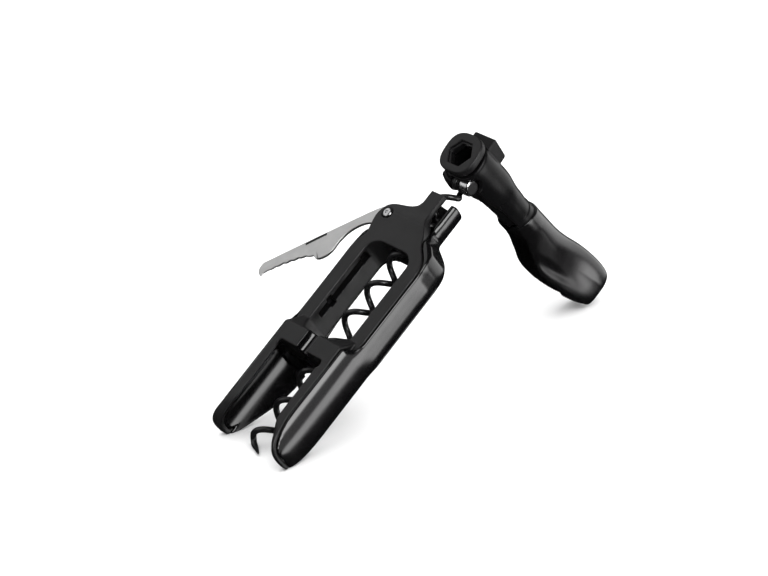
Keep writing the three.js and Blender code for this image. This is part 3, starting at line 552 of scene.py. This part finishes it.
# h, top, bottom, half width, squareness above and below
GRIP_T = np.array([[35.6, 14.4, -0.4, 7.4, 2.1, 2.1], [37.0, 14.7, -0.7, 7.7, 2.1, 2.1], [46, 14.6, -1.2, 7.6, 2.1, 2.4],
                   [52, 14.5, -2.6, 7.4, 2.2, 3.6], [60, 14.4, -4.5, 7.1, 2.4, 6], [68, 15.1, -5.3, 6.9, 2.6, 6],
                   [78, 16.7, -4.8, 6.8, 2.7, 6], [88, 17.5, -3.3, 6.8, 2.8, 6], [95, 17.5, -1.6, 6.7, 2.8, 6],
                   [99.6, 17.0, 0.1, 6.4, 2.7, 5.5], [101.6, 16.3, 0.5, 5.9, 2.6, 5], [103.4, 15.0, 0.9, 5.2, 2.5, 4.5]])


def grip(x, h, u):
    a = np.abs(x)
    hh = GRIP_T[:, 0]
    top, bot, w, q, low = (along(h, hh, GRIP_T[:, i]) for i in (1, 2, 3, 4, 5))
    mid = (top + bot) / 2
    w = w - 0.105 * np.clip(mid + 1.5 - u, 0, 9) * step(42, 50, h) + 0.1
    d = supercircle(a, u - mid, w, (top - bot) / 2 + 0.15, np.where(u < mid, low, q))
    end = h - np.interp(u.ravel(), [0.5, 14, 30], [101.6, 101.2, 100.7]).reshape(u.shape)
    d = meet(d, end, 0.7)
    # thumb dish on each side
    dish = np.sqrt(((h - 80) / 22) ** 2 + ((u - 8.2) / 10.5) ** 2)
    depth = 1.3 * (1 - step(0.0, 1.0, dish))
    d = d + depth * step(3.0, 6.5, a)
    # low scoop on each side towards the channel's edge
    scoop = np.sqrt(((h - 66) / 20) ** 2 + ((u + 0.2 - 0.12 * (h - 66)) / 3.4) ** 2)
    d = d + 0.55 * (1 - step(0.0, 1.0, scoop)) * step(3.0, 5.0, a)
    socket = np.maximum(np.hypot(a, u - core_u(h)) - np.interp(h.ravel(), [30, 34, 45.3], [7.4, 7.15, 7.0]).reshape(h.shape), h - 45.3)
    d = cut(d, socket, 0.25)
    d = cut(d, np.maximum(nest(a + 0.4 * step(44, 50, h), u), h - 93), 0.3)
    mouth = outline([(30, -20), (30, 30), (40.0, 30), (40.0, 14.8), (38.8, 12), (37.2, 8.5), (36.3, 4.6), (36.0, 1), (35.4, -2), (35.4, -20)])
    return cut(d, mouth(h, u), 0.45)


def build(name, fn, lo, hi, size, matrix, material, **kw):
    v, nrm, q = mesh_of(fn, lo, hi, size)
    second = kw.pop("second", None)
    if second is not None:
        c = v[q].mean(1)
        second = (*second[:-1], second[-1](c, nrm[q].mean(1)))
    return piece(name, v, q, matrix, material, nrm, second=second, **kw)


FINE = 1.0

def front_gloss_and_painted_shade(c, n):
    """1 gives the glossy moulding in the groove of the bridge, 2 gives painted shade inside the blade's slot."""
    groove = (np.abs(c[:, 0]) < 2.75) & (c[:, 1] < -9.0) & (c[:, 2] > 38) & (c[:, 2] < 52) & (np.abs(n[:, 1]) < 0.98)
    slot = (slot_cut(c[:, 0], c[:, 1], c[:, 2]) < 0.12) & (c[:, 0] < -11.55) & (c[:, 2] < 86.5)
    return np.where(slot, 2, groove.astype(int))


groove_gloss_slot_shade = (GLOSS, PAINTED_SHADE, front_gloss_and_painted_shade)
build("front_moulding", front_frame, (-18.6, -14.2, -0.9), (18.6, 6.4, 119.4), 0.36 * FINE, BODY, MATTE,
      ride="frame", stands_for=("front_frame",), slot="matte_black", second=groove_gloss_slot_shade)
# painted shade inside the worm's bore in the neck
bore_painted_shade = (PAINTED_SHADE, lambda c, n: ((np.hypot(c[:, 0], c[:, 1] + 0.3) < 5.5) & (c[:, 2] > 86.0)).astype(int))
build("rear_moulding", rear_shell, (-20.2, -14.3, -1.2), (20.2, 11.4, 119.2), 0.38 * FINE, BODY, GLOSS,
      ride="frame", stands_for=("rear_shell",), slot="gloss_black", second=bore_painted_shade)
build("handle_moulding", handle_core, (-9.6, -7.6, -4.4), (9.6, 45.9, 21.4), 0.34 * FINE, HANDLE, MATTE_DARK,
      ride="handle", stands_for=("handle_core",), slot="matte_black")
build("head_ring", end_cap, (-8.8, -10.6, -1.1), (8.8, -4.6, 17.4), 0.25 * FINE, HANDLE, MATTE,
      ride="handle", stands_for=("head_end_cap",), slot="matte_black")
build("grip_moulding", grip, (-9.0, 33.8, -6.4), (9.0, 106.6, 18.6), 0.40 * FINE, HANDLE, GRIP,
      ride="handle", stands_for=("grip_sleeve",), slot="gloss_black")


# -------------------------------------------------------------------- wire
def helix(z):
    t = (z - 17.79) / 13.9 * 2 * math.pi + math.pi
    return (3.55 * math.cos(t), BORE_Y + 3.55 * math.sin(t), z)


way = [(4.2, -1.15, -0.2), (3.1, -0.85, 0.25), (1.36, -0.25, 0.98), (-0.4, 0.15, 1.7), (-1.94, 0.25, 2.45), (-3.15, -0.25, 3.75)]
turns = np.arange(5.0, 120.41, 13.9 / 20)
way += [helix(z) for z in turns]
way += [(3.3, -1.35, 121.35), (3.3, 0.2, 122.2), (2.5, 1.5, 123.0), (1.2, 2.4, 123.9), (0.25, 2.8, 125.3)]
way += [(0, BORE_Y + 3.0 * math.cos(math.radians(g)), 128.04 + 3.0 * math.sin(math.radians(g))) for g in range(-2, 262, 15)]
line = curve(way, 4)
seg = np.linalg.norm(np.diff(line, axis=0), axis=1)
dist = np.concatenate([[0], np.cumsum(seg)])
count = int(dist[-1] / 0.55)
at = np.linspace(0, dist[-1], count)
line = np.stack([np.interp(at, dist, line[:, i]) for i in range(3)], 1)
tangent = np.gradient(line, axis=0)
tangent /= np.linalg.norm(tangent, axis=1)[:, None]
up = np.array([0, 1.0, 0])
rings, ring_n = [], []
SIDES = 14
for i in range(count):
    up = up - tangent[i] * up.dot(tangent[i])
    up /= np.linalg.norm(up)
    other = np.cross(tangent[i], up)
    radius = (1.18 - 0.18 * step(123.5, 126.0, line[i][2])) * min(1.0, 0.16 + 0.84 * (at[i] / 6.5) ** 0.75)
    left = dist[-1] - at[i]
    radius *= min(1.0, math.sqrt(max(0.0, 1 - (1 - min(left, 1.0)) ** 2)) * 0.9 + 0.1)
    for k in range(SIDES):
        g = 2 * math.pi * k / SIDES
        nvec = up * math.cos(g) + other * math.sin(g)
        rings.append(line[i] + radius * nvec)
        ring_n.append(nvec)
quads = []
for i in range(count - 1):
    for k in range(SIDES):
        a, b = i * SIDES + k, i * SIDES + (k + 1) % SIDES
        quads.append((a, b, b + SIDES, a + SIDES))
first, last = len(rings), len(rings) + 1
rings += [line[0] - tangent[0] * 0.15, line[-1] + tangent[-1] * 0.05]
ring_n += [-tangent[0], tangent[-1]]
faces = quads + [(first, (k + 1) % SIDES, k) for k in range(SIDES)]
faces += [(last, (count - 1) * SIDES + k, (count - 1) * SIDES + (k + 1) % SIDES) for k in range(SIDES)]
piece("wire_worm", rings, faces, BODY, COATED, ring_n, ride="worm", stands_for=("worm",), slot="coated_wire")

# ------------------------------------------------------------------- blade
blade_pts = [(-22.3, 102.9), (-30.6, 92.2), (-41.5, 77.8), (-51.7, 64.1), (-51.85, 62.5), (-51.6, 60.9), (-50.6, 59.4),
             (-48.6, 58.5)]
edge = [(-48.75, 60.2), (-47.6, 62.3), (-46.6, 63.1), (-45.6, 65.0), (-44.5, 65.7), (-43.6, 67.5), (-42.3, 68.1), (-41.3, 69.8),
        (-40.0, 70.4), (-39.0, 72.0), (-37.7, 72.6), (-36.4, 74.1), (-34.9, 74.4), (-33.4, 75.5), (-32.2, 75.0), (-30.9, 74.7)]
belly = curve([(-30.9, 74.7), (-28.6, 76.8), (-27.2, 80.1), (-27.2, 85.3), (-25.9, 91.0), (-22.4, 95.8), (-17.6, 98.3)], 6)
tang = [(-13.2 + 3.9 * math.cos(math.radians(g)), 102.5 + 3.9 * math.sin(math.radians(g))) for g in range(-105, 101, 9)]
blade_out = outline(curve(blade_pts[3:], 4).tolist() + edge[:-1] + belly.tolist() + tang + [(-16.6, 106.0), (-20.0, 105.2)]
                    + curve([(-20.0, 105.2), (-22.3, 102.9), (-30.6, 92.2), (-41.5, 77.8), (-51.7, 64.1)], 4).tolist()[1:-1])
teeth = outline(edge + [(-30.9, 74.7), (-60, 40), (-60, 55)])
EDGE_A, EDGE_B = np.array([-49.2, 59.0]), np.array([-31.5, 75.4])


def foil_blade(x, y, z):
    o = blade_out(x, z)
    d = meet(o, np.abs(y + 4.05) - 0.6, 0.12)
    # hollow-ground towards the serrated edge
    e = EDGE_B - EDGE_A
    e = e / np.linalg.norm(e)
    side_d = (x - EDGE_A[0]) * e[1] - (z - EDGE_A[1]) * e[0]
    ground = np.abs(y + 4.05) - (0.16 + 0.44 * step(0.3, -3.6, side_d))
    run = (x - EDGE_A[0]) * e[0] + (z - EDGE_A[1]) * e[1]
    d = np.maximum(d, ground * 0.96 - 2.0 * step(24.0, 27.0, run))
    nick = outline([(-40.3, 78.4), (-39.7, 77.9), (-34.5, 85.2), (-35.0, 85.8), (-35.6, 85.4)])
    d = cut(d, np.maximum(nick(x, z), y + 4.3), 0.15)
    return cut(d, np.hypot(x + 13.2, z - 102.5) - 1.65, 0.1)


nick_area = outline([(-40.4, 78.4), (-39.7, 77.8), (-34.3, 85.1), (-34.9, 85.9), (-35.6, 85.5)])
# painted shade along the nick in the blade's front face
nick_painted_shade = (SHADE, lambda c, n: ((nick_area(c[:, 0], c[:, 2]) < 0.05) & (c[:, 1] < -4.0)).astype(int))
build("foil_cutter", foil_blade, (-52.6, -5.1, 57.9), (-8.6, -3.0, 107.2), 0.20 * FINE, BODY, SATIN,
      ride="blade", stands_for=("foil_blade",), slot="blade_steel", second=nick_painted_shade)


# ------------------------------------------------------ rivet, pin and bush
def rivet(x, y, z):
    r = np.hypot(x + 13.2, z - 102.5)
    head = meet(np.sqrt(r * r + (y + 5.35) ** 2) - 3.55, r - 1.95, 0.18)
    head = np.maximum(head, y + 7.7)
    head = cut(head, np.hypot(r, y + 9.25) - 0.85, 0.15)
    d = np.minimum(head, np.maximum(r - 1.3, slab(y, -8.2, 0.9)))
    tail = meet(r - 1.95, slab(y, 0.7, 1.45), 0.3)
    return np.minimum(d, tail)


build("blade_pivot_rivet", rivet, (-15.6, -9.3, 100.1), (-10.8, 1.9, 104.9), 0.16 * FINE, BODY, BRIGHT,
      ride="frame", stands_for=("blade_rivet",), slot="bright_steel")


def pin(x, h, u):
    r = np.hypot(h, u)
    thin = meet(r - 1.7, slab(x, -7.2, 2.2), 0.3)
    thick = meet(r - 3.4, slab(x, 1.8, 6.7), 1.1)
    # fine turned steps
    d = np.minimum(thin, thick)
    return d + 0.035 * np.cos(x * 2 * math.pi / 0.9) * step(1.9, 2.6, x) * step(6.3, 5.6, x)


# The end face towards +x and the thin part of the pin take the dark matte moulding instead of bright steel; on the thin
# part, between the knuckle and the thick end, this dark colour is painted shade.
build("cross_pin", pin, (-7.9, -4.1, -4.1), (8.3, 4.1, 4.1), 0.2 * FINE, HANDLE, BRIGHT,
      ride="handle", stands_for=("pivot_pin",), slot="bright_steel",
      second=(MATTE_DARK, lambda c, n: (((n[:, 0] > 0.93) & (c[:, 0] > 5.5)) | (c[:, 0] < 1.75)).astype(int)))

for node in ("blade_washer_front", "blade_washer_rear", "frame_screw_1", "frame_screw_2", "frame_screw_3", "frame_screw_4"):
    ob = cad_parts[node]
    for i in range(max(1, len(ob.material_slots))):
        if not ob.material_slots:
            ob.data.materials.append(BRIGHT)
        ob.material_slots[i].material = BRIGHT
for node in ("guide_bush", "eye_washer_left", "eye_washer_right"):
    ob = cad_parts[node]
    if not ob.material_slots:
        ob.data.materials.append(ACETAL)
    for s in ob.material_slots:
        s.material = ACETAL

# ------------------------------------------------------------------- floor
floor_mesh = bpy.data.meshes.new("floor")
S = 2.4
floor_mesh.from_pydata([(-S, -S, 0), (S, -S, 0), (S, S, 0), (-S, S, 0)], [], [(0, 1, 2, 3)])
floor = bpy.data.objects.new("floor", floor_mesh)
bpy.context.scene.collection.objects.link(floor)
m, nt, s = node_material("pale_floor")
nt.links.new(ramp(nt, noise(nt, 12, 3.0), [(0.3, 0.90), (0.7, 0.915)]), s.inputs["Base Color"])
s.inputs["Roughness"].default_value = 0.7
s.inputs["Specular IOR Level"].default_value = 0.2
floor_mesh.materials.append(m)
floor.visible_glossy = False


# ------------------------------------------------------------------ lights
def area(name, place, target, size_x, size_y, power, glossy=True, diffuse=True):
    l = bpy.data.lights.new(name, "AREA")
    l.shape = "RECTANGLE"
    l.size, l.size_y = size_x, size_y
    l.energy = power
    o = bpy.data.objects.new(name, l)
    o.location = place
    o.rotation_mode = "QUATERNION"
    o.rotation_quaternion = (Vector(target) - Vector(place)).to_track_quat("-Z", "Y")
    o.visible_camera = False
    o.visible_glossy = glossy
    o.visible_diffuse = diffuse
    bpy.context.scene.collection.objects.link(o)
    return o


# broad wash that lights the floor and the dull surfaces
area("wash", (0.25, 0.1, 1.5), (0, 0, 0), 2.4, 2.4, 22, glossy=False)

# The studio round the table, as polished surfaces see it: soft panels given by
# compass direction and height in degrees, on a dark room.
PANELS = [
    # centre azimuth, half width, low, high, softness, brightness
    (-155, 55, 18, 78, 14, 0.80),
    (-12, 15, 18, 50, 6, 8.0),
    (78, 25, -14, 6, 8, 1.5),
    (33, 10, -25, -10, 5, 4.5),
    (10, 12, -8, 12, 12, 0.7),
]
ROOM = 0.012
world = bpy.data.worlds.new("studio")
world.use_nodes = True
wt = world.node_tree
bg = next(n for n in wt.nodes if n.type == "BACKGROUND")


def math_node(kind, a, b=None, c=None):
    n = wt.nodes.new("ShaderNodeMath")
    n.operation = kind
    for socket, v in zip(n.inputs, (a, b, c)):
        if v is None:
            continue
        if isinstance(v, (int, float)):
            socket.default_value = v
        else:
            wt.links.new(v, socket)
    return n.outputs[0]


def edge(v, lo, hi):
    n = wt.nodes.new("ShaderNodeMapRange")
    n.interpolation_type = "SMOOTHSTEP"
    n.inputs["From Min"].default_value = lo
    n.inputs["From Max"].default_value = hi
    wt.links.new(v, n.inputs["Value"])
    return n.outputs["Result"]


coord = wt.nodes.new("ShaderNodeTexCoord")
split = wt.nodes.new("ShaderNodeSeparateXYZ")
wt.links.new(coord.outputs["Generated"], split.inputs["Vector"])
height = math_node("MULTIPLY", math_node("ARCSINE", split.outputs["Z"]), 180 / math.pi)
total = None
for az, half, low, high, soft, bright in PANELS:
    c, sn = math.cos(math.radians(az)), math.sin(math.radians(az))
    fx = math_node("ADD", math_node("MULTIPLY", split.outputs["X"], c), math_node("MULTIPLY", split.outputs["Y"], sn))
    fy = math_node("SUBTRACT", math_node("MULTIPLY", split.outputs["Y"], c), math_node("MULTIPLY", split.outputs["X"], sn))
    turn = math_node("MULTIPLY", math_node("ABSOLUTE", math_node("ARCTAN2", fy, fx)), 180 / math.pi)
    v = edge(turn, half + soft, half)
    v = math_node("MULTIPLY", v, edge(height, low - soft, low))
    v = math_node("MULTIPLY", v, edge(height, high + soft, high))
    v = math_node("MULTIPLY", v, bright)
    total = v if total is None else math_node("ADD", total, v)
seen = math_node("ADD", total, ROOM)
path = wt.nodes.new("ShaderNodeLightPath")
mix = wt.nodes.new("ShaderNodeMix")
mix.data_type = "FLOAT"
wt.links.new(path.outputs["Is Glossy Ray"], mix.inputs[0])
mix.inputs[2].default_value = 1.3
wt.links.new(seen, mix.inputs[3])
wt.links.new(mix.outputs[0], bg.inputs["Strength"])
bg.inputs["Color"].default_value = (1, 1, 1, 1)
world.cycles.sampling_method = "NONE"
bpy.context.scene.world = world
bpy.context.scene.view_settings.view_transform = "Standard"
